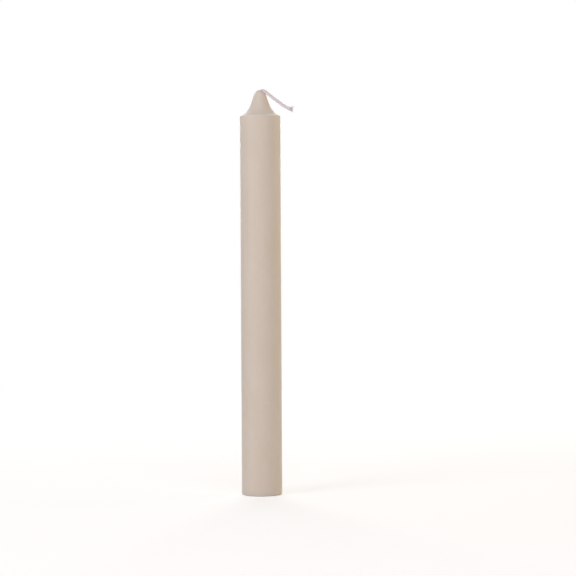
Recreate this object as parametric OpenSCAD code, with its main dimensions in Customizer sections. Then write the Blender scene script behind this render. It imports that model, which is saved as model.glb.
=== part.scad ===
// Taper candle: a straight, round stick of ivory wax with a bell-shaped nose, on a flat
// plaited cotton wick that is folded over at the tip.
// Millimetres. The origin is the middle of the flat base, +Z runs up the candle's axis,
// and the wick is folded towards +X.

/* [Body] */
// Length of the wax, from its base to the tip of its nose
wax_length = 200; // [120:5:300]
// Diameter of the straight body
body_d = 20; // [18:0.5:24]
// Bevel round the bottom edge
base_bevel = 0.6; // [0.2:0.1:1.5]

/* [Nose] */
// Height of the nose, from the shoulder up to the tip
nose_h = 12.8; // [11:0.2:15]
// Radius of the rounded tip
tip_r = 3; // [2.6:0.1:3.6]
// Lean of the straight flank under the tip, in degrees from upright
flank_lean = 20; // [14:1:22]
// Radius of the hollow flare that runs from the flank out to the shoulder
flare_r = 9.6; // [8:0.2:12]
// Rounding of the shoulder's edge
shoulder_round = 0.4; // [0.2:0.1:0.8]

/* [Wick] */
// Width of the flat wick
wick_w = 2.2; // [1.9:0.1:2.6]
// Thickness of the wick
wick_t = 1.6; // [1.2:0.1:1.8]
// Clearance between the straight wick and the wax all round it
wick_fit = 0.05; // [0.04:0.01:0.12]
// Clearance round the fold, where the stiff wick has pushed the soft wax aside
fold_fit = 0.2; // [0.16:0.01:0.25]
// Clearance round the tail, where it lies in the wax beside the tip
tail_fit = 0.12; // [0.08:0.01:0.15]
// Height of the fold's top above the tip
fold_top = 0.6; // [0.3:0.05:1.4]
// Radius inside the fold
fold_in_r = 0.3; // [0.28:0.02:1.2]
// Slope of the folded tail, in degrees below level
tail_droop = 37; // [10:1:45]
// Straight length of the tail
tail_run = 12; // [6:0.2:20]
// Length of the tail's end, which curls up until it is about level
curl_run = 6.4; // [3:0.2:10]
// Angle through which that end curls up, in degrees
curl_lift = 42; // [4:1:50]

/* [Plait] */
// Length in which each strand crosses the wick and comes back
plait_pitch = 6; // [4.5:0.1:9]
// Radius of each of the three strands
strand_r = 0.5; // [0.42:0.01:0.58]
// Width of the soft core between the strands
core_w = 1.7; // [1.2:0.1:2]
// Thickness of that core
core_t = 1.2; // [0.8:0.1:1.4]
// Length in which the pressed wick opens out into its plait
plait_start = 1.2; // [0.5:0.1:3]
// Length of the loosened end
fray_run = 2.6; // [1:0.1:3]
// Width of the wick at its loosened end
fray_w = 2.8; // [2.2:0.1:3.5]

/* [Hidden] */
$fn = 96;

WAX = [0.94, 0.89, 0.77];
COTTON = [0.93, 0.91, 0.86];

body_r = body_d / 2;

// The nose is drawn as an outline of [distance from the axis, height].
// These two directions run down the flank and squarely out of it.
down_flank = [sin(flank_lean), -cos(flank_lean)];
out_of_flank = [cos(flank_lean), sin(flank_lean)];

// The flank leaves the rounded tip where both point the same way.
tip_centre = [0, wax_length - tip_r];
flank_top = tip_centre + tip_r * out_of_flank;

// The flare is the circle of radius flare_r that touches the flank's line and passes
// through the shoulder's corner.
shoulder = [body_r, wax_length - nose_h];
shoulder_reach = (shoulder - flank_top) * out_of_flank;
shoulder_fall = (shoulder - flank_top) * down_flank;
flank_run = shoulder_fall - sqrt(shoulder_reach * (2 * flare_r - shoulder_reach));
flare_top = flank_top + flank_run * down_flank;
flare_centre = flare_top + flare_r * out_of_flank;

// The shoulder's rounding touches the body's wall level with its own centre. It touches the
// flare on the line between the two centres, which climbs from level by edge_angle.
round_x = body_r - shoulder_round;
edge_angle = acos((flare_centre.x - round_x) / (flare_r + shoulder_round));
round_centre = [round_x, flare_centre.y - (flare_r + shoulder_round) * sin(edge_angle)];

// Points along an arc, in equal steps from one angle to another.
ROUND_STEPS = 5;
FLARE_STEPS = 14;
TIP_STEPS = 16;
function arc(centre, radius, from, to, steps) = [
    for (i = [0 : steps])
        let (angle = from + (to - from) * i / steps)
        centre + radius * [cos(angle), sin(angle)]
];

// Half of the candle's outline, from the base up round the nose to the tip.
wax_outline = concat(
    [[0, 0], [body_r - base_bevel, 0], [body_r, base_bevel]],
    arc(round_centre, shoulder_round, 0, edge_angle, ROUND_STEPS),
    arc(flare_centre, flare_r, 180 + edge_angle, 180 + flank_lean, FLARE_STEPS),
    arc(tip_centre, tip_r, flank_lean, 90, TIP_STEPS)
);

// The wick's way is straight up the axis, then the fold, the tail and its curled end.
// It is measured by s, the length of wick from the base, and fold_r runs to its middle.
fold_r = fold_in_r + wick_t / 2;
rise = wax_length + fold_top - wick_t / 2 - fold_r;
fold_turn = 90 + tail_droop;
fold_run = fold_r * fold_turn * PI / 180;
curl_r = curl_run / (curl_lift * PI / 180);
fold_end_s = rise + fold_run;
curl_start_s = fold_end_s + tail_run;
wick_end_s = curl_start_s + curl_run;

// How far the room for the straight wick reaches into the wider room for its fold.
fold_lap = fold_fit;

function along(angle) = [sin(angle), 0, cos(angle)];
function fold_point(angle) = [fold_r * (1 - cos(angle)), 0, rise + fold_r * sin(angle)];
function tail_point(run) = fold_point(fold_turn) + run * along(fold_turn);
function curl_point(angle) = tail_point(tail_run)
    + curl_r * [cos(angle) - cos(fold_turn), 0, sin(fold_turn) - sin(angle)];

// Degrees by which the wick at s points away from straight up, towards +X.
function wick_angle(s) =
    s < rise ? 0 :
    s < fold_end_s ? fold_turn * (s - rise) / fold_run :
    s < curl_start_s ? fold_turn :
    fold_turn - curl_lift * (s - curl_start_s) / curl_run;

function wick_point(s) =
    s < rise ? [0, 0, s] :
    s < fold_end_s ? fold_point(wick_angle(s)) :
    s < curl_start_s ? tail_point(s - fold_end_s) :
    curl_point(wick_angle(s));

// Each outline of the wick gives how far it reaches from its middle in a direction that
// is turned by angle from the wick's width. Pressed flat in the wax it is a band with
// round edges.
flat_half = (wick_w - wick_t) / 2;
function band_reach(angle) =
    flat_half * abs(sin(angle)) <= wick_t / 2 * abs(cos(angle))
        ? flat_half * abs(cos(angle))
            + sqrt(pow(wick_t / 2, 2) - pow(flat_half * sin(angle), 2))
        : wick_t / 2 / abs(sin(angle));

// In the plait each of three strands weaves from edge to edge once in a pitch, and over
// and under the other two: a sine across the wick and one of twice its rate through it.
STRANDS = 3;
strand_sway = wick_w / 2 - strand_r;
strand_lift = wick_t / 2 - strand_r;
function strand_middle(s, i) =
    let (phase = 360 * (s / plait_pitch + i / STRANDS))
    [strand_sway * sin(phase), strand_lift * sin(2 * phase)];
function strand_reach(middle, angle) =
    let (
        ahead = middle * [cos(angle), sin(angle)],
        left = pow(strand_r, 2) - middle * middle + ahead * ahead
    )
    left > 0 ? max(ahead + sqrt(left), 0) : 0;

// A soft core fills the middle, and a high power joins it to the strands like a smooth
// maximum, so that shallow valleys stay between them.
JOIN_POWER = 14;
function core_reach(angle) =
    1 / sqrt(pow(2 * cos(angle) / core_w, 2) + pow(2 * sin(angle) / core_t, 2));
function plait_reach(s, angle) =
    let (
        strands = [for (i = [0 : STRANDS - 1]) strand_reach(strand_middle(s, i), angle)],
        powers = [for (reach = concat(strands, core_reach(angle))) pow(reach, JOIN_POWER)]
    )
    pow(powers * [for (p = powers) 1], 1 / JOIN_POWER);

function smooth(x) = let (t = min(max(x, 0), 1)) t * t * (3 - 2 * t);
function wick_reach(s, angle) =
    let (
        plaited = smooth((s - rise) / plait_start),
        frayed = smooth((s - wick_end_s + fray_run) / fray_run)
    )
    (1 + (fray_w / wick_w - 1) * frayed)
        * ((1 - plaited) * band_reach(angle) + plaited * plait_reach(s, angle));

// Points round the wick, and its outlines in each pitch of the plait.
WICK_SIDES = 28;
PITCH_RINGS = 20;
plaited_rings = ceil(PITCH_RINGS * (wick_end_s - rise) / plait_pitch);
ring_places = concat(0, [
    for (i = [0 : plaited_rings]) rise + (wick_end_s - rise) * i / plaited_rings
]);

function wick_ring(s) =
    let (
        middle = wick_point(s),
        turn = wick_angle(s),
        across = [0, 1, 0],
        through = [cos(turn), 0, -sin(turn)]
    )
    [
        for (side = [0 : WICK_SIDES - 1])
            let (angle = 360 * side / WICK_SIDES, reach = wick_reach(s, angle))
            middle + reach * (cos(angle) * across + sin(angle) * through)
    ];

// The pressed wick's outline with a clearance round it, its width along Y.
module wick_slot(fit) {
    slot_r = wick_t / 2 + fit;
    for (side = [-1, 1]) translate([0, side * flat_half]) circle(slot_r);
    square([2 * slot_r, 2 * flat_half], center = true);
}

// The room for the wick: straight up the axis, round the fold, and along the tail, which
// lies in the soft wax beside the tip. The straight stretches end inside the wider fold.
module wick_way() {
    linear_extrude(rise + fold_lap) wick_slot(wick_fit);
    translate([fold_r, 0, rise])
        rotate([90, 0, 0])
        rotate(180 - fold_turn)
        rotate_extrude(angle = fold_turn)
        translate([fold_r, 0]) wick_slot(fold_fit);
    translate(tail_point(-fold_lap))
        rotate([0, fold_turn, 0])
        linear_extrude(fold_lap + tail_run) wick_slot(tail_fit);
}

// The outline's turn starts a quarter turn away from the fold, so that its seam lies clear
// of the wick's way.
module wax_body() {
    color(WAX)
    difference() {
        rotate(90) rotate_extrude() polygon(wax_outline);
        wick_way();
    }
}

// The wick is one skin over its outlines. Each flat end is a fan about its middle point.
module wick() {
    rings = [for (s = ring_places) wick_ring(s)];
    last = len(rings) - 1;
    base_middle = len(rings) * WICK_SIDES;
    skin = [
        for (ring = [0 : last], side = [0 : WICK_SIDES - 1])
            let (
                next = (side + 1) % WICK_SIDES,
                low = ring * WICK_SIDES,
                high = low + WICK_SIDES
            )
            each ring == last
                ? [[low + side, low + next, base_middle + 1]]
                : [[low + side, low + next, high + next], [low + side, high + next, high + side]]
    ];
    base_end = [
        for (side = [0 : WICK_SIDES - 1]) [(side + 1) % WICK_SIDES, side, base_middle]
    ];
    points = concat([for (ring = rings) each ring], [wick_point(0), wick_point(wick_end_s)]);
    color(COTTON) polyhedron(points, concat(skin, base_end));
}

wax_body();
wick();
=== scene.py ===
import math

import bpy
import numpy as np
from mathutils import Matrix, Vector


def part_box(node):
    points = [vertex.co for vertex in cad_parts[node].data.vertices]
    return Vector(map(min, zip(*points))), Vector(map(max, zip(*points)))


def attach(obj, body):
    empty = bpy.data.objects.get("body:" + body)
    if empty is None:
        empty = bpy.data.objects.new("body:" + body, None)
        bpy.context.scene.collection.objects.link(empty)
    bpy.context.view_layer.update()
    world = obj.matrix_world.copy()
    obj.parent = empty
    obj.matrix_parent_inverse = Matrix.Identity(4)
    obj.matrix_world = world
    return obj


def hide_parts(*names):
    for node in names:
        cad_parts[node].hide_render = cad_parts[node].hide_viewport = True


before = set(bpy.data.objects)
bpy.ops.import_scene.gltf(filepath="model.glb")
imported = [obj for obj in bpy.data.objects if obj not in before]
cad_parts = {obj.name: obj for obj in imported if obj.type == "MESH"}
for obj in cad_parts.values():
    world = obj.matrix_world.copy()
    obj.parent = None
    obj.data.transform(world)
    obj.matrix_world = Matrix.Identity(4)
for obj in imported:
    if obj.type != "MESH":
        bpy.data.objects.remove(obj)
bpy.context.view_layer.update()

# Camera.
# It stands a little to the right of the candle's front, at three fifths of its height, and
# looks slightly down. It aims just right of the axis, so that the candle stands left of
# centre, and it is rolled by 0.3 of a degree.
MM = 0.001
CAMERA_LENS = 121.75
CAMERA_SENSOR = 36.0
CAMERA_DISTANCE = 964 * MM
CAMERA_HEIGHT = 118 * MM
CAMERA_AZIMUTH = math.radians(18)
CAMERA_TILT = math.radians(0.94)
CAMERA_AIM = math.radians(0.799)
CAMERA_ROLL = math.radians(0.29)


def make_camera():
    """A camera on a circle about the candle's axis, turned back towards it."""
    data = bpy.data.cameras.new("camera")
    data.lens = CAMERA_LENS
    data.sensor_width = CAMERA_SENSOR
    camera = bpy.data.objects.new("camera", data)
    camera.location = (
        CAMERA_DISTANCE * math.sin(CAMERA_AZIMUTH),
        -CAMERA_DISTANCE * math.cos(CAMERA_AZIMUTH),
        CAMERA_HEIGHT,
    )
    camera.rotation_euler = (math.pi / 2 - CAMERA_TILT, CAMERA_ROLL, CAMERA_AZIMUTH - CAMERA_AIM)
    bpy.context.collection.objects.link(camera)
    bpy.context.scene.camera = camera


make_camera()

# Wax body.
# The real piece is a round stick of ivory wax, drawn through a ring and cut to length. Its
# bell-shaped nose is milled on, and the wick runs up through its middle and out of the tip.
# Its skin is satin, with faint lines along the draw and fine turning marks on the nose.
WAX_LENGTH = 200 * MM
BODY_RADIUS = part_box("wax_body")[1][1]
BASE_EDGE = 0.6 * MM
EDGE_POWER = 1.35
NOSE_HEIGHT = 12.8 * MM
SHOULDER_HEIGHT = WAX_LENGTH - NOSE_HEIGHT
TIP_RADIUS = 3 * MM
FLANK_LEAN = math.radians(20)
FLARE_RADIUS = 9.6 * MM
SHOULDER_ROUND = 0.4 * MM

# The wick's band and its fold, which the wax is shaped round. Its turn is counted from
# straight up, and its length from the base.
WICK_WIDTH = 2.2 * MM
WICK_THICKNESS = 1.6 * MM
WICK_FIT = 0.05 * MM
FOLD_TOP = 0.6 * MM
FOLD_INSIDE = 0.55 * MM
TAIL_DROOP = math.radians(37)
FOLD_RADIUS = FOLD_INSIDE + WICK_THICKNESS / 2
FOLD_START = WAX_LENGTH + FOLD_TOP - WICK_THICKNESS / 2 - FOLD_RADIUS
FOLD_TURN = math.pi / 2 + TAIL_DROOP

# The skin's points: columns round the axis, and rows along each part of the outline. The
# first of the dome's rows, as many as JOIN_ROWS, blend it into the flank.
WAX_COLUMNS = 192
BASE_ROWS = 14
EDGE_ROWS = 9
WALL_ROWS = 102
ROUND_ROWS = 8
FLARE_ROWS = 40
FLANK_ROWS = 8
DOME_ROWS = 44
JOIN_ROWS = 8
SLOT_ROWS = 12
# How much the rows crowd together: on the base towards the slot, and on the dome and in the
# slot towards the mouth.
BASE_CROWDING = 1.4
DOME_CROWDING = 0.25
SLOT_CROWDING = 2

# Lines along the draw: how often each wave repeats round the wall, the steepest slope, the
# weakest wave beside the strongest, and the usual drift in radians per metre of height. They
# begin at DRAW_FROM from the axis, and have their full depth DRAW_BLEND further out.
DRAW_SEED = 5
DRAW_WAVES = range(3, 64)
DRAW_SLOPE = 0.0035
DRAW_WEAKEST = 0.2
DRAW_DRIFT = 9.0
DRAW_FROM = 0.9 * BODY_RADIUS
DRAW_BLEND = 0.08 * BODY_RADIUS

# Nicks in the shoulder's edge: the angle round the axis in degrees, the depth and the width.
SHOULDER_NICKS = [
    (-116, 0.10 * MM, 1.1 * MM),
    (-83, 0.16 * MM, 0.8 * MM),
    (-41, 0.09 * MM, 1.6 * MM),
    (24, 0.12 * MM, 0.9 * MM),
    (97, 0.14 * MM, 1.3 * MM),
    (171, 0.08 * MM, 1.8 * MM),
]
# Small pits in the wall: the angle in degrees, the height, the depth and the radius.
WALL_PITS = [
    (-88, 104 * MM, 0.12 * MM, 0.55 * MM),
    (-52, 61 * MM, 0.08 * MM, 0.8 * MM),
    (-129, 148 * MM, 0.06 * MM, 1.0 * MM),
    (38, 87 * MM, 0.10 * MM, 0.7 * MM),
    (142, 131 * MM, 0.09 * MM, 0.8 * MM),
    (-171, 37 * MM, 0.08 * MM, 0.9 * MM),
]

# The wick's mouth: how softly the wick has pressed in the tip, how steeply the wax climbs
# beside and behind it, how far it closes in behind the wick and down to which depth, and
# the uneven little collar of wax that stands round it.
PRESS_BLEND = 0.05 * MM
PRESS_SIDE_CLIMB = 4
PRESS_BACK_CLIMB = 6
MOUTH_CLOSING = 0.42
MOUTH_DEPTH = 1.2 * MM
COLLAR_HEIGHT = 0.14 * MM
COLLAR_REACH = 0.22 * MM
COLLAR_WAVES = 5
COLLAR_WAVE_SHARE = 0.3
COLLAR_WAVE_START = 1
NEARLY_ZERO = 1e-9


def arc(centre, radius, start, stop, count):
    """count points on a circle: centre + radius * (cos a, sin a), with a from start to stop."""
    turn = np.linspace(start, stop, count)[:, None]
    return np.array(centre) + radius * np.hstack([np.cos(turn), np.sin(turn)])


def wax_profile():
    """The wax's outline as (distance from the axis, height), from the base to the dome's edge.

    The bottom edge is a superellipse, between a bevel and a full round. The flare is the
    circle that touches the flank's line and passes through the shoulder's corner, and the
    shoulder's own rounding touches the flare from inside the wall.
    """
    quarter = np.linspace(0, math.pi / 2, EDGE_ROWS)
    edge = np.column_stack([
        BODY_RADIUS - BASE_EDGE * (1 - np.sin(quarter) ** (2 / EDGE_POWER)),
        BASE_EDGE * (1 - np.cos(quarter) ** (2 / EDGE_POWER)),
    ])
    down_flank = np.array([math.sin(FLANK_LEAN), -math.cos(FLANK_LEAN)])
    out_of_flank = np.array([math.cos(FLANK_LEAN), math.sin(FLANK_LEAN)])
    flank_top = np.array([0, WAX_LENGTH - TIP_RADIUS]) + TIP_RADIUS * out_of_flank
    corner = np.array([BODY_RADIUS, SHOULDER_HEIGHT]) - flank_top
    reach = corner @ out_of_flank
    flank_run = corner @ down_flank - math.sqrt(reach * (2 * FLARE_RADIUS - reach))
    flare_top = flank_top + flank_run * down_flank
    flare_centre = flare_top + FLARE_RADIUS * out_of_flank
    round_x = BODY_RADIUS - SHOULDER_ROUND
    both = FLARE_RADIUS + SHOULDER_ROUND
    edge_angle = math.acos((flare_centre[0] - round_x) / both)
    round_centre = (round_x, flare_centre[1] - both * math.sin(edge_angle))
    heights = np.linspace(BASE_EDGE, round_centre[1], WALL_ROWS + 2)[1:-1]
    wall = np.column_stack([np.full(len(heights), BODY_RADIUS), heights])
    shoulder = arc(round_centre, SHOULDER_ROUND, 0, edge_angle, ROUND_ROWS)
    flare = arc(flare_centre, FLARE_RADIUS, math.pi + edge_angle, math.pi + FLANK_LEAN, FLARE_ROWS)
    flank = np.linspace(flare_top, flank_top, FLANK_ROWS)
    return np.vstack([edge, wall, shoulder, flare[1:], flank[1:]])


def slot_reach(turn, grow):
    """Distance from the axis to the edge of the wick's band, made larger all round by grow.

    The band lies along Y. Its flat sides are at half its thickness, and its ends are round.
    """
    half = (WICK_WIDTH - WICK_THICKNESS) / 2
    radius = WICK_THICKNESS / 2 + grow
    along = np.abs(np.sin(turn))
    across = np.abs(np.cos(turn))
    round_end = half * along + np.sqrt(np.clip(radius**2 - (half * across) ** 2, 0, None))
    flat_side = radius / np.maximum(across, NEARLY_ZERO)
    return np.where(half * across <= radius * along, round_end, flat_side)


def draw_lines(turn, height):
    """Shallow lines along the draw: a sum of waves round the wall, whose phase drifts upwards."""
    random = np.random.default_rng(DRAW_SEED)
    lines = np.zeros(np.broadcast(turn, height).shape)
    for count in DRAW_WAVES:
        phase = random.uniform(0, 2 * math.pi)
        drift = random.normal(0, DRAW_DRIFT)
        depth = random.uniform(DRAW_WEAKEST, 1) * DRAW_SLOPE * BODY_RADIUS / count
        lines += depth * np.cos(count * turn + phase + drift * height)
    return lines


def dent(turn, height, at_turn, at_height, depth, width):
    """A round hollow: depth * exp(-(distance / width)^2), measured along the wall."""
    aside = BODY_RADIUS * ((turn - math.radians(at_turn) + math.pi) % (2 * math.pi) - math.pi)
    return depth * np.exp(-(aside**2 + (height - at_height) ** 2) / width**2)


def wax_skin(turn, profile):
    """Distance from the axis and height over the whole outside, as rows by columns.

    The outline is turned round the axis, and its distance gets the draw lines and loses
    the nicks and pits.
    """
    radius = profile[:, :1] + 0 * turn
    height = profile[:, 1:] + 0 * turn
    wall = np.clip((radius - DRAW_FROM) / DRAW_BLEND, 0, 1)
    radius = radius + wall * draw_lines(turn, height)
    for at_turn, depth, width in SHOULDER_NICKS:
        radius = radius - dent(turn, height, at_turn, SHOULDER_HEIGHT, depth, width)
    for at_turn, at_height, depth, width in WALL_PITS:
        radius = radius - dent(turn, height, at_turn, at_height, depth, width)
    return radius, height


def tip_height(x, y):
    """Height of the tip: its dome, pressed in where the folded wick lies on it.

    The wick's underside is the fold's inner circle and then the straight tail, with edges
    that round up beside it. The lower of dome and underside is taken, with a soft blend.
    """
    off_axis = np.minimum(x**2 + y**2, TIP_RADIUS**2)
    dome = WAX_LENGTH - TIP_RADIUS + np.sqrt(TIP_RADIUS**2 - off_axis)
    aside = np.clip(x, FOLD_RADIUS - FOLD_INSIDE, None) - FOLD_RADIUS
    tail_from = FOLD_INSIDE * math.sin(TAIL_DROOP)
    fold_under = np.sqrt(np.clip(FOLD_INSIDE**2 - aside**2, 0, None))
    tail_under = FOLD_INSIDE * math.cos(TAIL_DROOP) - (aside - tail_from) * math.tan(TAIL_DROOP)
    under = FOLD_START + np.where(aside < tail_from, fold_under, tail_under)
    flat = (WICK_WIDTH - WICK_THICKNESS) / 2
    off_flat = np.clip(np.abs(y) - flat, 0, None)
    edge = WICK_THICKNESS / 2
    under = under + edge - np.sqrt(np.clip(edge**2 - off_flat**2, 0, None))
    beside = PRESS_SIDE_CLIMB * np.clip(off_flat - edge, 0, None)
    behind = PRESS_BACK_CLIMB * np.clip(-x, 0, None)
    gap = dome - (under + beside + behind)
    return dome - (gap + np.sqrt(gap**2 + PRESS_BLEND**2)) / 2


def wax_surface():
    """The wax as one closed skin, a grid of rows by columns whose rows run in a ring.

    They go from the slot's rim out over the base, up the wall, over the nose and the dome to
    the wick's mouth, and down the slot back to the rim. So the skin has no pole. The collar
    falls off as exp(-distance / COLLAR_REACH) from the mouth, and fades out under the tail.
    """
    turn = np.linspace(0, 2 * math.pi, WAX_COLUMNS, endpoint=False)[None, :]
    slot = slot_reach(turn, WICK_FIT)
    outer_radius, outer_height = wax_skin(turn, wax_profile())

    share = np.linspace(0, 1, BASE_ROWS + 1)[:-1, None] ** BASE_CROWDING
    base_radius = slot + (outer_radius[:1] - slot) * share
    base_height = 0 * base_radius

    mouth = slot.copy()
    behind = np.cos(turn) < 0
    mouth[behind] = (slot * (1 - MOUTH_CLOSING * np.abs(np.cos(turn)) ** 2))[behind]
    share = np.linspace(0, 1, DOME_ROWS + 1)[1:, None]
    share = share + DOME_CROWDING * share * (1 - share)
    dome_radius = outer_radius[-1:] + (mouth - outer_radius[-1:]) * share
    dome_height = tip_height(dome_radius * np.cos(turn), dome_radius * np.sin(turn))
    ahead = np.clip(np.cos(turn), 0, 1)
    collar = COLLAR_HEIGHT * (1 - ahead) * np.exp(-(dome_radius - mouth) / COLLAR_REACH)
    uneven = 1 + COLLAR_WAVE_SHARE * np.sin(COLLAR_WAVES * turn + COLLAR_WAVE_START)
    dome_height = dome_height + collar * uneven
    join = np.linspace(1, 0, JOIN_ROWS)[:, None] ** 2
    edge_height = tip_height(outer_radius[-1:] * np.cos(turn), outer_radius[-1:] * np.sin(turn))
    dome_height[:JOIN_ROWS] += join * (outer_height[-1:] - edge_height)

    depth = np.linspace(0, 1, SLOT_ROWS + 2)[1:-1, None] ** SLOT_CROWDING
    top = dome_height[-1:]
    slot_height = top * (1 - depth)
    ease = np.clip((top - slot_height) / MOUTH_DEPTH, 0, 1)
    slot_radius = mouth + (slot - mouth) * ease

    radius = np.vstack([base_radius, outer_radius, dome_radius, slot_radius])
    height = np.vstack([base_height, outer_height, dome_height, slot_height])
    return np.stack([radius * np.cos(turn), radius * np.sin(turn), height], axis=-1)


def ring_faces(rows, columns, rows_close):
    """Quads between neighbouring rows of a grid whose columns close into a ring."""
    row = np.arange(rows if rows_close else rows - 1)[:, None]
    column = np.arange(columns)[None, :]
    above = (row + 1) % rows
    beside = (column + 1) % columns
    corners = np.broadcast_arrays(
        row * columns + column,
        row * columns + beside,
        above * columns + beside,
        above * columns + column,
    )
    return np.stack(corners, axis=-1).reshape(-1, 4)


def mesh_piece(name, points, faces, material):
    """A smooth-shaded object at the origin, made of points in metres and faces of indices."""
    mesh = bpy.data.meshes.new(name)
    mesh.from_pydata(points.reshape(-1, 3), [], faces)
    mesh.shade_smooth()
    mesh.materials.append(material)
    piece = bpy.data.objects.new(name, mesh)
    bpy.context.collection.objects.link(piece)
    return piece


def feed(tree, socket, value):
    """Link the socket to another node's output, or set it to a plain value."""
    if isinstance(value, bpy.types.NodeSocket):
        tree.links.new(value, socket)
    else:
        socket.default_value = value


def add_node(tree, kind, **inputs):
    """A new shader node. Each keyword feeds the input of that name, with _ for a space."""
    node = tree.nodes.new(kind)
    for name, value in inputs.items():
        feed(tree, node.inputs[name.replace("_", " ")], value)
    return node


def stretched_noise(tree, place, stretch, scale, detail):
    """Noise on place, with features 1 / (scale * stretch) long on each axis."""
    moved = add_node(tree, "ShaderNodeMapping", Vector=place, Scale=stretch).outputs["Vector"]
    noise = add_node(tree, "ShaderNodeTexNoise", Vector=moved, Scale=scale, Detail=detail)
    return noise.outputs["Fac"]


def ramp(tree, value, low, high, to_low, to_high):
    """value as it runs from low to high, turned into to_low to to_high and held outside."""
    node = add_node(
        tree,
        "ShaderNodeMapRange",
        Value=value,
        From_Min=low,
        From_Max=high,
        To_Min=to_low,
        To_Max=to_high,
    )
    return node.outputs["Result"]


# The Mix node's sockets for a share and two colours have the same names as its other ones,
# so they are taken by number.
MIX_INPUTS = (0, 6, 7)
MIX_OUTPUT = 2


def mix_colour(tree, share, first, second):
    """first where share is 0 and second where it is 1."""
    node = tree.nodes.new("ShaderNodeMix")
    node.data_type = "RGBA"
    for number, value in zip(MIX_INPUTS, (share, first, second)):
        feed(tree, node.inputs[number], value)
    return node.outputs[MIX_OUTPUT]


def combine(tree, operation, first, second):
    """Two numbers put through one Math operation."""
    node = tree.nodes.new("ShaderNodeMath")
    node.operation = operation
    for socket, value in zip(node.inputs, (first, second)):
        feed(tree, socket, value)
    return node.outputs["Value"]


WAX_IVORY = (0.79, 0.71, 0.62, 1)
WAX_WARM = (0.78, 0.69, 0.59, 1)
WAX_BLOOM = (0.81, 0.75, 0.68, 1)
WAX_SHADER = {
    "Subsurface Weight": 0.9,
    "Subsurface Radius": (1.0, 0.95, 0.9),
    "Subsurface Scale": 2.4 * MM,
    "IOR": 1.44,
    "Specular IOR Level": 0.3,
}
# Each pattern's stretch on the three axes, its scale and its detail.
CLOUDS = ((1, 1, 0.35), 130, 3.0)
BLOOM = ((1, 1, 0.5), 420, 5.0)
LINES = ((1, 1, 0.012), 1500, 3.0)
GRAIN = ((1, 1, 1), 5200, 2.0)
RUBS = ((1, 1, 0.16), 640, 4.0)
TURNING_SCALE = 900
TURNING_DISTORTION = 1.5
TURNING_DETAIL_SCALE = 0.4
# What each pattern does: from its first value to its second, the effect goes from the third
# to the fourth. The effects are shares of a colour, roughness, and relief in metres.
NOSE_BLEND = (SHOULDER_HEIGHT, SHOULDER_HEIGHT + 0.6 * MM, 0.0, 1.0)
CLOUD_TINT = (0.35, 0.68, 0.0, 1.0)
BLOOM_TINT = (0.52, 0.80, 0.0, 0.55)
LINE_ROUGHNESS = (0.3, 0.7, 0.37, 0.47)
BLOOM_ROUGHNESS = (0.50, 0.78, 0.0, 0.10)
NOSE_ROUGHNESS = (0.0, 1.0, 0.0, 0.05)
LINE_RELIEF = (0.25, 0.75, 0.0, 0.006 * MM)
GRAIN_RELIEF = (0.3, 0.7, 0.0, 0.0035 * MM)
RUB_RELIEF = (0.62, 0.76, 0.0, -0.012 * MM)
TURNING_RELIEF = (0.0, 1.0, 0.0, 0.006 * MM)


def wax_material():
    """Ivory wax that light enters: soft clouding, a paler bloom, draw lines and turning marks."""
    material = bpy.data.materials.new("ivory_wax")
    material.use_nodes = True
    tree = material.node_tree
    shader = tree.nodes["Principled BSDF"]
    place = tree.nodes.new("ShaderNodeTexCoord").outputs["Object"]
    height = add_node(tree, "ShaderNodeSeparateXYZ", Vector=place).outputs["Z"]

    clouds = stretched_noise(tree, place, *CLOUDS)
    bloom = stretched_noise(tree, place, *BLOOM)
    lines = stretched_noise(tree, place, *LINES)
    grain = stretched_noise(tree, place, *GRAIN)
    rubs = stretched_noise(tree, place, *RUBS)
    turning = add_node(
        tree,
        "ShaderNodeTexWave",
        Vector=place,
        Scale=TURNING_SCALE,
        Distortion=TURNING_DISTORTION,
        Detail_Scale=TURNING_DETAIL_SCALE,
    )
    turning.bands_direction = "Z"
    on_nose = ramp(tree, height, *NOSE_BLEND)

    colour = mix_colour(tree, ramp(tree, clouds, *CLOUD_TINT), WAX_IVORY, WAX_WARM)
    colour = mix_colour(tree, ramp(tree, bloom, *BLOOM_TINT), colour, WAX_BLOOM)
    feed(tree, shader.inputs["Base Color"], colour)

    rough = ramp(tree, lines, *LINE_ROUGHNESS)
    rough = combine(tree, "ADD", rough, ramp(tree, bloom, *BLOOM_ROUGHNESS))
    rough = combine(tree, "ADD", rough, ramp(tree, on_nose, *NOSE_ROUGHNESS))
    feed(tree, shader.inputs["Roughness"], rough)

    turned = ramp(tree, turning.outputs["Fac"], *TURNING_RELIEF)
    relief = ramp(tree, lines, *LINE_RELIEF)
    relief = combine(tree, "ADD", relief, ramp(tree, grain, *GRAIN_RELIEF))
    relief = combine(tree, "ADD", relief, ramp(tree, rubs, *RUB_RELIEF))
    relief = combine(tree, "ADD", relief, combine(tree, "MULTIPLY", on_nose, turned))
    bump = add_node(tree, "ShaderNodeBump", Height=relief, Distance=1.0, Strength=1.0)
    feed(tree, shader.inputs["Normal"], bump.outputs["Normal"])

    shader.subsurface_method = "RANDOM_WALK"
    for name, value in WAX_SHADER.items():
        feed(tree, shader.inputs[name], value)
    return material


wax_points = wax_surface()
wax_body = mesh_piece(
    "wax_body_skin",
    wax_points,
    ring_faces(wax_points.shape[0], wax_points.shape[1], True),
    wax_material(),
)
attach(wax_body, "root")
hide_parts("wax_body")

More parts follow.
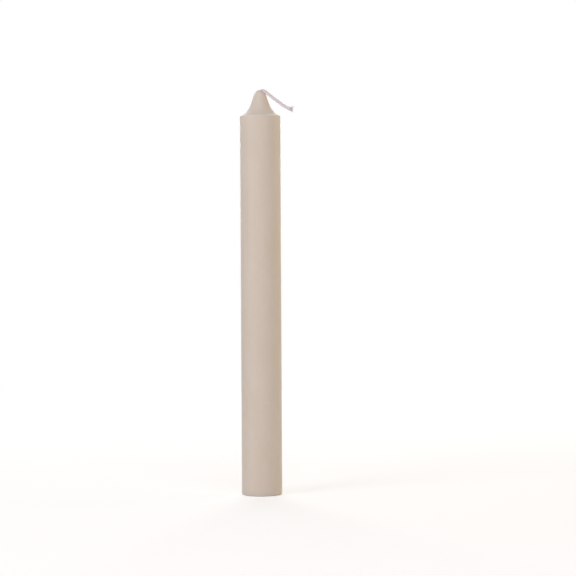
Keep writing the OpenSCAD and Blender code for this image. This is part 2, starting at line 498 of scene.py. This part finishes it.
# Wick.
# The real piece is a flat plait of three cotton strands, each of a few threads. It is soaked
# with wax where it leaves the tip, creased over to one side, and its cut end has opened out.
TAIL_RUN = 11.6 * MM
CURL_RUN = 6.4 * MM
CURL_LIFT = math.radians(28)
FOLD_RUN = FOLD_RADIUS * FOLD_TURN
CURL_RADIUS = CURL_RUN / CURL_LIFT
TAIL_START = FOLD_START + FOLD_RUN
CURL_START = TAIL_START + TAIL_RUN
WICK_END = CURL_START + CURL_RUN

# The plait: the length in which a strand crosses over and comes back, and the oval of
# threads that makes a strand. Each strand's threads start one step further round their oval
# than the last strand's, with this many steps to a turn.
PLAIT_PITCH = 6 * MM
STRANDS = 3
STRAND_HALF_WIDTH = 0.52 * MM
STRAND_HALF_THICKNESS = 0.58 * MM
STRAND_STEPS = 7
THREADS = 6
THREAD_RADIUS = 0.22 * MM
THREAD_TWIST = 9 * MM
THREAD_SIDES = 8
# The threads start just above the base, where the soaked core alone shows. Their rings of
# points are sparse as far up as the wax hides them.
THREAD_START = 0.3 * MM
HIDDEN_STEP = 1 * MM
SEEN_BELOW_FOLD = 3 * MM
SEEN_RINGS = 210

# The loosened end: each thread is cut a little shorter, spreads, scatters and thins out.
FRAY_SEED = 11
FRAY_RUN = 3.4 * MM
FRAY_SPREAD = 0.9
FRAY_SCATTER = 0.16 * MM
FRAY_THINNING = 0.6
CUT_RUN = 4 * MM
CUT_LONGEST = 1.3 * MM
CUT_SHORTEST = 0.1 * MM
# The loose fibres of each thread. They start on one of its rings, from 3 to 15 rings before
# its end, and follow its line between the rings AIM_RINGS before and after. Spread and bend
# turn them away from it by these shares of their length.
FIBRE_SEED = 23
FIBRES = 14
FIBRE_RADIUS = 0.022 * MM
FIBRE_LENGTH = 1.2 * MM
FIBRE_SHORTEST = 0.45
FIBRE_SPREAD = 0.26
FIBRE_BEND = 0.45
FIBRE_TAPER = 0.6
FIBRE_RINGS = 8
FIBRE_SIDES = 4
START_RINGS = (3, 16)
AIM_RINGS = 2

# The wax-soaked core fills CORE_SHARE of the wick's band, and more of it at the fold. Its
# rings are sparse as far up as the wax hides them, and it ends inside the loosened end.
CORE_SHARE = 0.78
SOAK_SWELL = 0.19
SOAK_RUN = 2.6 * MM
CORE_SIDES = 28
CORE_RINGS_BELOW = 59
CORE_RINGS_ABOVE = 120
CORE_SEEN_BELOW = 1 * MM
CORE_END_GAP = 1.2 * MM


def smooth(value):
    """0 below 0 and 1 above 1, with the S-curve v * v * (3 - 2 * v) between them."""
    value = np.clip(value, 0, 1)
    return value * value * (3 - 2 * value)


def wick_turn(length):
    """How far the wick at that length from the base leans away from upright, towards +X.

    The lean grows evenly along the fold, and falls evenly along the curl.
    """
    folded = FOLD_TURN * np.clip((length - FOLD_START) / FOLD_RUN, 0, 1)
    return folded - CURL_LIFT * np.clip((length - CURL_START) / CURL_RUN, 0, None)


def wick_place(length):
    """The wick's middle: straight up, round the fold, along the tail and its rising curl."""
    turn = wick_turn(length)
    rise = np.minimum(length, FOLD_START)
    fold = np.clip(turn, 0, FOLD_TURN)
    fold = np.where(length > TAIL_START, FOLD_TURN, fold)
    tail = np.clip(length - TAIL_START, 0, TAIL_RUN)
    curled = length > CURL_START
    x = FOLD_RADIUS * (1 - np.cos(fold)) + tail * math.sin(FOLD_TURN)
    z = rise + FOLD_RADIUS * np.sin(fold) + tail * math.cos(FOLD_TURN)
    x = x + np.where(curled, CURL_RADIUS * (np.cos(turn) - math.cos(FOLD_TURN)), 0)
    z = z + np.where(curled, CURL_RADIUS * (math.sin(FOLD_TURN) - np.sin(turn)), 0)
    return np.stack([x, 0 * x, z], axis=-1)


def from_wick(length, across, through):
    """The point that lies across and through the wick from its middle, at that length."""
    turn = wick_turn(length)
    middle = wick_place(length)
    offset = np.stack([through * np.cos(turn), across, -through * np.sin(turn)], axis=-1)
    return middle + offset


def plait_middle(length, strand):
    """A strand's middle: a sine across the wick, and one of twice its rate through it."""
    phase = 2 * math.pi * (length / PLAIT_PITCH + strand / STRANDS)
    across = (WICK_WIDTH / 2 - STRAND_HALF_WIDTH) * np.sin(phase)
    through = (WICK_THICKNESS / 2 - STRAND_HALF_THICKNESS) * np.sin(2 * phase)
    return across, through


def tube_points(path, radius, sides):
    """Rings of points round paths, at right angles to them. path is tubes by rings by 3."""
    along = np.gradient(path, axis=1)
    along /= np.linalg.norm(along, axis=-1, keepdims=True)
    side = np.cross(along, (0, 1, 0))
    side /= np.linalg.norm(side, axis=-1, keepdims=True)
    front = np.cross(along, side)
    angle = np.linspace(0, 2 * math.pi, sides, endpoint=False)[:, None]
    ring = np.cos(angle) * side[..., None, :] + np.sin(angle) * front[..., None, :]
    return path[..., None, :] + radius[..., None, None] * ring


def capped_tubes(rings, first):
    """Points and faces of closed tubes, each end a fan about its middle.

    rings is tubes by rings by sides by 3, and first is the index of the first point.
    """
    tubes, count, sides, _ = rings.shape
    ends = rings[:, [0, -1]].mean(axis=2)
    points = np.concatenate([rings.reshape(tubes, count * sides, 3), ends], axis=1)
    quads = ring_faces(count, sides, False)
    start_middle = count * sides
    end_middle = start_middle + 1
    end_ring = start_middle - sides
    side = np.arange(sides)
    beside = (side + 1) % sides
    start_fan = np.column_stack([beside, side, np.full(sides, start_middle)])
    end_fan = np.column_stack([end_ring + side, end_ring + beside, np.full(sides, end_middle)])
    fans = np.stack([start_fan, end_fan], axis=1).reshape(-1, 3)
    faces = []
    for tube in range(tubes):
        tube_first = first + tube * (end_middle + 1)
        faces += (quads + tube_first).tolist()
        faces += (fans + tube_first).tolist()
    return points.reshape(-1, 3), faces


def plait_threads():
    """Each thread runs round its strand's oval with a slow twist, and loosens at the end.

    Returns the threads' lengths from the base, their paths and their radii.
    """
    random = np.random.default_rng(FRAY_SEED)
    hidden = np.arange(THREAD_START, FOLD_START - SEEN_BELOW_FOLD, HIDDEN_STEP)
    seen = np.linspace(FOLD_START - SEEN_BELOW_FOLD, WICK_END, SEEN_RINGS)
    base_length = np.concatenate([hidden, seen])[None, :]
    count = STRANDS * THREADS
    strand = np.repeat(np.arange(STRANDS), THREADS)[:, None]
    thread = np.tile(np.arange(THREADS), STRANDS)[:, None]
    cut = random.uniform(-CUT_LONGEST, -CUT_SHORTEST, (count, 1))
    length = base_length + cut * smooth((base_length - WICK_END + CUT_RUN) / CUT_RUN)
    across, through = plait_middle(length, strand)
    turns = thread / THREADS + length / THREAD_TWIST + strand / STRAND_STEPS
    angle = 2 * math.pi * turns
    across = across + (STRAND_HALF_WIDTH - THREAD_RADIUS) * np.cos(angle)
    through = through + (STRAND_HALF_THICKNESS - THREAD_RADIUS) * np.sin(angle)
    loose = smooth((length - WICK_END + FRAY_RUN) / FRAY_RUN)
    spread = 1 + FRAY_SPREAD * loose
    across = across * spread + random.normal(0, FRAY_SCATTER, (count, 1)) * loose
    through = through * spread + random.normal(0, FRAY_SCATTER, (count, 1)) * loose
    radius = THREAD_RADIUS * (1 - FRAY_THINNING * loose**2) * np.ones_like(across)
    return length, from_wick(length, across, through), radius


def loose_fibres(path):
    """Fine fibres that leave the threads near their cut ends and curve away to all sides.

    A fibre runs along its thread plus a random spread, and adds a random bend that grows
    with the square of the way. Returns the fibres' paths and radii.
    """
    random = np.random.default_rng(FIBRE_SEED)
    count = path.shape[0] * FIBRES
    share = np.linspace(0, 1, FIBRE_RINGS)[None, :, None]
    thread = np.repeat(np.arange(path.shape[0]), FIBRES)
    ring = path.shape[1] - random.integers(*START_RINGS, count)
    start = path[thread, ring][:, None, :]
    along = (path[thread, ring + AIM_RINGS] - path[thread, ring - AIM_RINGS])[:, None, :]
    along /= np.linalg.norm(along, axis=-1, keepdims=True)
    spread = random.normal(0, FIBRE_SPREAD, (count, 1, 3))
    bend = random.normal(0, FIBRE_BEND, (count, 1, 3))
    reach = FIBRE_LENGTH * random.uniform(FIBRE_SHORTEST, 1, (count, 1, 1))
    fibre = start + reach * (share * (along + spread) + share**2 * bend / 2)
    radius = FIBRE_RADIUS * (1 - FIBRE_TAPER * share[..., 0]) * np.ones((count, 1))
    return fibre, radius


def soaked_core():
    """The wax-soaked middle of the plait: a band that fills it.

    It rises over the threads at the fold, thins out in the loosened end, and closes the
    wick's cut end in the base. Returns its rings' lengths from the base, and its rings.
    """
    below = np.linspace(0, FOLD_START - CORE_SEEN_BELOW, CORE_RINGS_BELOW + 1)[:-1]
    above = np.linspace(FOLD_START - CORE_SEEN_BELOW, WICK_END - CORE_END_GAP, CORE_RINGS_ABOVE)
    length = np.concatenate([below, above])
    turn = np.linspace(0, 2 * math.pi, CORE_SIDES, endpoint=False)[None, :]
    soak = 1 - smooth((length - FOLD_START) / SOAK_RUN)
    thinned = 1 - FRAY_THINNING * smooth((length - WICK_END + FRAY_RUN) / FRAY_RUN)
    reach = slot_reach(turn, 0) * ((CORE_SHARE + SOAK_SWELL * soak) * thinned)[:, None]
    rings = from_wick(length[:, None], reach * np.sin(turn), reach * np.cos(turn))
    return length, rings[None]


COTTON = (0.96, 0.87, 0.90, 1)
COTTON_SHADE = (0.87, 0.77, 0.79, 1)
# The loose end's colour: paler clean cotton, and in part painted light that lifts the shade
# between the loose threads.
COTTON_LOOSE_PAINTED_LIGHT = (0.97, 0.93, 0.95, 1)
COTTON_SHADER = {
    "Sheen Weight": 0.25,
    "Sheen Roughness": 0.5,
    "Subsurface Weight": 0.15,
    "Subsurface Radius": (1.0, 0.8, 0.6),
    "Subsurface Scale": 0.5 * MM,
}
# The cotton's patterns and what they do, written as the wax's are.
HAIRS = ((1, 0.12, 1), 9, 3.0)
BLOTCHES = ((1, 1, 1), 900, 2.0)
HAIR_TINT = (0.35, 0.65, 0.0, 1.0)
BLOTCH_TINT = (0.4, 0.7, 0.0, 0.25)
SOAK_ROUGHNESS = (0.0, 1.0, 0.85, 0.5)
HAIR_RELIEF = (0.3, 0.7, 0.0, 0.02 * MM)
HAIR_STRENGTH = 0.8


def attribute(tree, name):
    """A number that is stored on the mesh's points under that name."""
    node = tree.nodes.new("ShaderNodeAttribute")
    node.attribute_name = name
    return node.outputs["Fac"]


def wick_material():
    """Unbleached cotton, wax-soaked at the fold and paler where it has come loose.

    The paler loose end is partly clean cotton and partly painted light, which lifts the shade
    between the loose threads. Fine hairs follow the threads' own map, and pale blotches of wax
    lie over them.
    """
    material = bpy.data.materials.new("cotton_wick")
    material.use_nodes = True
    tree = material.node_tree
    shader = tree.nodes["Principled BSDF"]
    place = tree.nodes.new("ShaderNodeTexCoord")
    soak = attribute(tree, "soak")
    hairs = stretched_noise(tree, place.outputs["UV"], *HAIRS)
    blotches = stretched_noise(tree, place.outputs["Object"], *BLOTCHES)
    colour = mix_colour(tree, ramp(tree, hairs, *HAIR_TINT), COTTON_SHADE, COTTON)
    colour = mix_colour(tree, ramp(tree, blotches, *BLOTCH_TINT), colour, WAX_BLOOM)
    colour = mix_colour(tree, soak, colour, WAX_IVORY)
    # The loose end is mixed paler: partly clean cotton, partly painted light against the shade
    # between its threads.
    colour = mix_colour(tree, attribute(tree, "loose"), colour, COTTON_LOOSE_PAINTED_LIGHT)
    feed(tree, shader.inputs["Base Color"], colour)
    feed(tree, shader.inputs["Roughness"], ramp(tree, soak, *SOAK_ROUGHNESS))
    relief = ramp(tree, hairs, *HAIR_RELIEF)
    bump = add_node(tree, "ShaderNodeBump", Height=relief, Distance=1.0, Strength=HAIR_STRENGTH)
    feed(tree, shader.inputs["Normal"], bump.outputs["Normal"])
    for name, value in COTTON_SHADER.items():
        feed(tree, shader.inputs[name], value)
    return material


def store_wick_maps(mesh, along, side):
    """Store how soaked and how loose each point is, and a map of side and way per twist.

    along is each point's length from the base, and side its share of the way round.
    """
    soak = smooth(along / THREAD_START) - smooth((along - FOLD_START - FOLD_RUN / 2) / SOAK_RUN)
    # This share of the loosened end also sets its paler colour, which is partly painted light.
    loose = smooth((along - WICK_END + FRAY_RUN) / FRAY_RUN)
    for name, share in (("soak", soak), ("loose", loose)):
        mesh.attributes.new(name, "FLOAT", "POINT").data.foreach_set("value", share)
    corners = np.empty(len(mesh.loops), dtype=np.int32)
    mesh.loops.foreach_get("vertex_index", corners)
    uv = np.column_stack([side[corners], along[corners] / THREAD_TWIST])
    mesh.uv_layers.new(name="thread").data.foreach_set("uv", uv.ravel())


def make_wick():
    """Threads, fibres and soaked core as one mesh, with its maps stored on it."""
    length, path, radius = plait_threads()
    threads, thread_faces = capped_tubes(tube_points(path, radius, THREAD_SIDES), 0)
    fibre_path, fibre_radius = loose_fibres(path)
    fibre_rings = tube_points(fibre_path, fibre_radius, FIBRE_SIDES)
    fibres, fibre_faces = capped_tubes(fibre_rings, len(threads))
    core_length, core_rings = soaked_core()
    core_first = len(threads) + len(fibres)
    core, core_faces = capped_tubes(core_rings, core_first)
    points = np.vstack([threads, fibres, core])
    faces = thread_faces + fibre_faces + core_faces
    piece = mesh_piece("wick_plait", points, faces, wick_material())

    thread_length = np.repeat(length, THREAD_SIDES, axis=1)
    core_along = np.repeat(core_length, CORE_SIDES)
    along = np.full(len(points), WICK_END)
    along[: len(threads)] = np.hstack([thread_length, length[:, [0, -1]]]).ravel()
    along[core_first:] = np.hstack([core_along, core_length[[0, -1]]])
    ring_side = np.tile(np.arange(THREAD_SIDES) / THREAD_SIDES, length.shape[1])
    side = np.zeros(len(points))
    side[: len(threads)] = np.tile(np.hstack([ring_side, [0, 0]]), len(length))
    store_wick_maps(piece.data, along, side)
    return piece


wick = make_wick()
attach(wick, "root")
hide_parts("wick")

# Studio.
# A plain white floor that keeps the candle's shadow, and a white surround. A soft key lamp
# stands at the front left and a fill at the front right, one lamp behind and one above lift
# the edges, and a weak warm one warms the right side from behind.
FLOOR_HALF = 6.0
FLOOR_DROP = 0.05 * MM
FLOOR_COLOUR = (0.84, 0.84, 0.84, 1)
FLOOR_GLOW = 0.44
# The floor fades to plain white between these distances from the candle, in metres.
FLOOR_FADE = (0.2, 0.8, 0.0, 1.0)
WHITE_STRENGTH = 1.0
WORLD_WHITE = (1, 1, 1, 1)
WORLD_LIGHT = 0.28
LAMP_AIM = (0, 0, WAX_LENGTH / 2)
# Each lamp's name, place and size in metres, its watts and its colour.
LAMPS = [
    ("key", (-0.65, -1.12, 0.5), 0.7, 4.8, (1.0, 0.94, 0.97)),
    ("front_fill", (0.65, -1.08, 0.45), 0.9, 3.8, (1.0, 0.93, 0.96)),
    ("back", (-0.4, 1.05, 0.5), 0.8, 6.4, (1.0, 0.98, 0.96)),
    ("top", (0.0, -0.45, 1.15), 0.9, 1.0, (1.0, 0.97, 0.97)),
    ("warm_fill", (0.94, 0.7, 0.3), 0.5, 2.2, (1.0, 0.62, 0.04)),
]


def seen_ray(tree):
    """1 for a ray that shows the surround, from the camera or through gloss or glass, else 0."""
    ray = tree.nodes.new("ShaderNodeLightPath")
    seen = combine(tree, "MAXIMUM", ray.outputs["Is Camera Ray"], ray.outputs["Is Glossy Ray"])
    return combine(tree, "MAXIMUM", seen, ray.outputs["Is Transmission Ray"])


def make_floor():
    """A flat square floor, which glows enough to look white and fades to plain white."""
    material = bpy.data.materials.new("studio_floor")
    material.use_nodes = True
    tree = material.node_tree
    tree.nodes.clear()
    away = tree.nodes.new("ShaderNodeVectorMath")
    away.operation = "LENGTH"
    feed(tree, away.inputs[0], tree.nodes.new("ShaderNodeTexCoord").outputs["Object"])
    seen = seen_ray(tree)
    glow_strength = combine(tree, "MULTIPLY", seen, FLOOR_GLOW)
    diffuse = add_node(tree, "ShaderNodeBsdfDiffuse", Color=FLOOR_COLOUR)
    glow = add_node(tree, "ShaderNodeEmission", Strength=glow_strength)
    near = tree.nodes.new("ShaderNodeAddShader")
    feed(tree, near.inputs[0], diffuse.outputs[0])
    feed(tree, near.inputs[1], glow.outputs[0])
    far = add_node(tree, "ShaderNodeEmission", Strength=WHITE_STRENGTH)
    share = combine(tree, "MULTIPLY", seen, ramp(tree, away.outputs["Value"], *FLOOR_FADE))
    mixed = add_node(tree, "ShaderNodeMixShader", Fac=share)
    feed(tree, mixed.inputs[1], near.outputs[0])
    feed(tree, mixed.inputs[2], far.outputs[0])
    add_node(tree, "ShaderNodeOutputMaterial", Surface=mixed.outputs[0])
    side = np.array([[-1, -1], [1, -1], [1, 1], [-1, 1]]) * FLOOR_HALF
    corners = np.column_stack([side, np.full(4, -FLOOR_DROP)])
    return mesh_piece("floor", corners, [[0, 1, 2, 3]], material)


def make_world():
    """A white surround at full strength for the camera, which lights the candle more weakly."""
    world = bpy.data.worlds.new("surround")
    bpy.context.scene.world = world
    world.use_nodes = True
    tree = world.node_tree
    background = tree.nodes["Background"]
    strength = ramp(tree, seen_ray(tree), 0.0, 1.0, WORLD_LIGHT, WHITE_STRENGTH)
    feed(tree, background.inputs["Color"], WORLD_WHITE)
    feed(tree, background.inputs["Strength"], strength)


def make_lamp(name, place, size, watts, colour):
    """A square area lamp at place that shines towards the middle of the candle."""
    data = bpy.data.lights.new(name, "AREA")
    data.size = size
    data.energy = watts
    data.color = colour
    lamp = bpy.data.objects.new(name, data)
    lamp.location = place
    back = np.array(place) - np.array(LAMP_AIM)
    tilt = math.atan2(math.hypot(back[0], back[1]), back[2])
    lamp.rotation_euler = (tilt, 0, math.atan2(back[0], -back[1]))
    bpy.context.collection.objects.link(lamp)


make_floor()
make_world()
for name, place, size, watts, colour in LAMPS:
    make_lamp(name, place, size, watts, colour)

bpy.context.scene.view_settings.view_transform = "Standard"
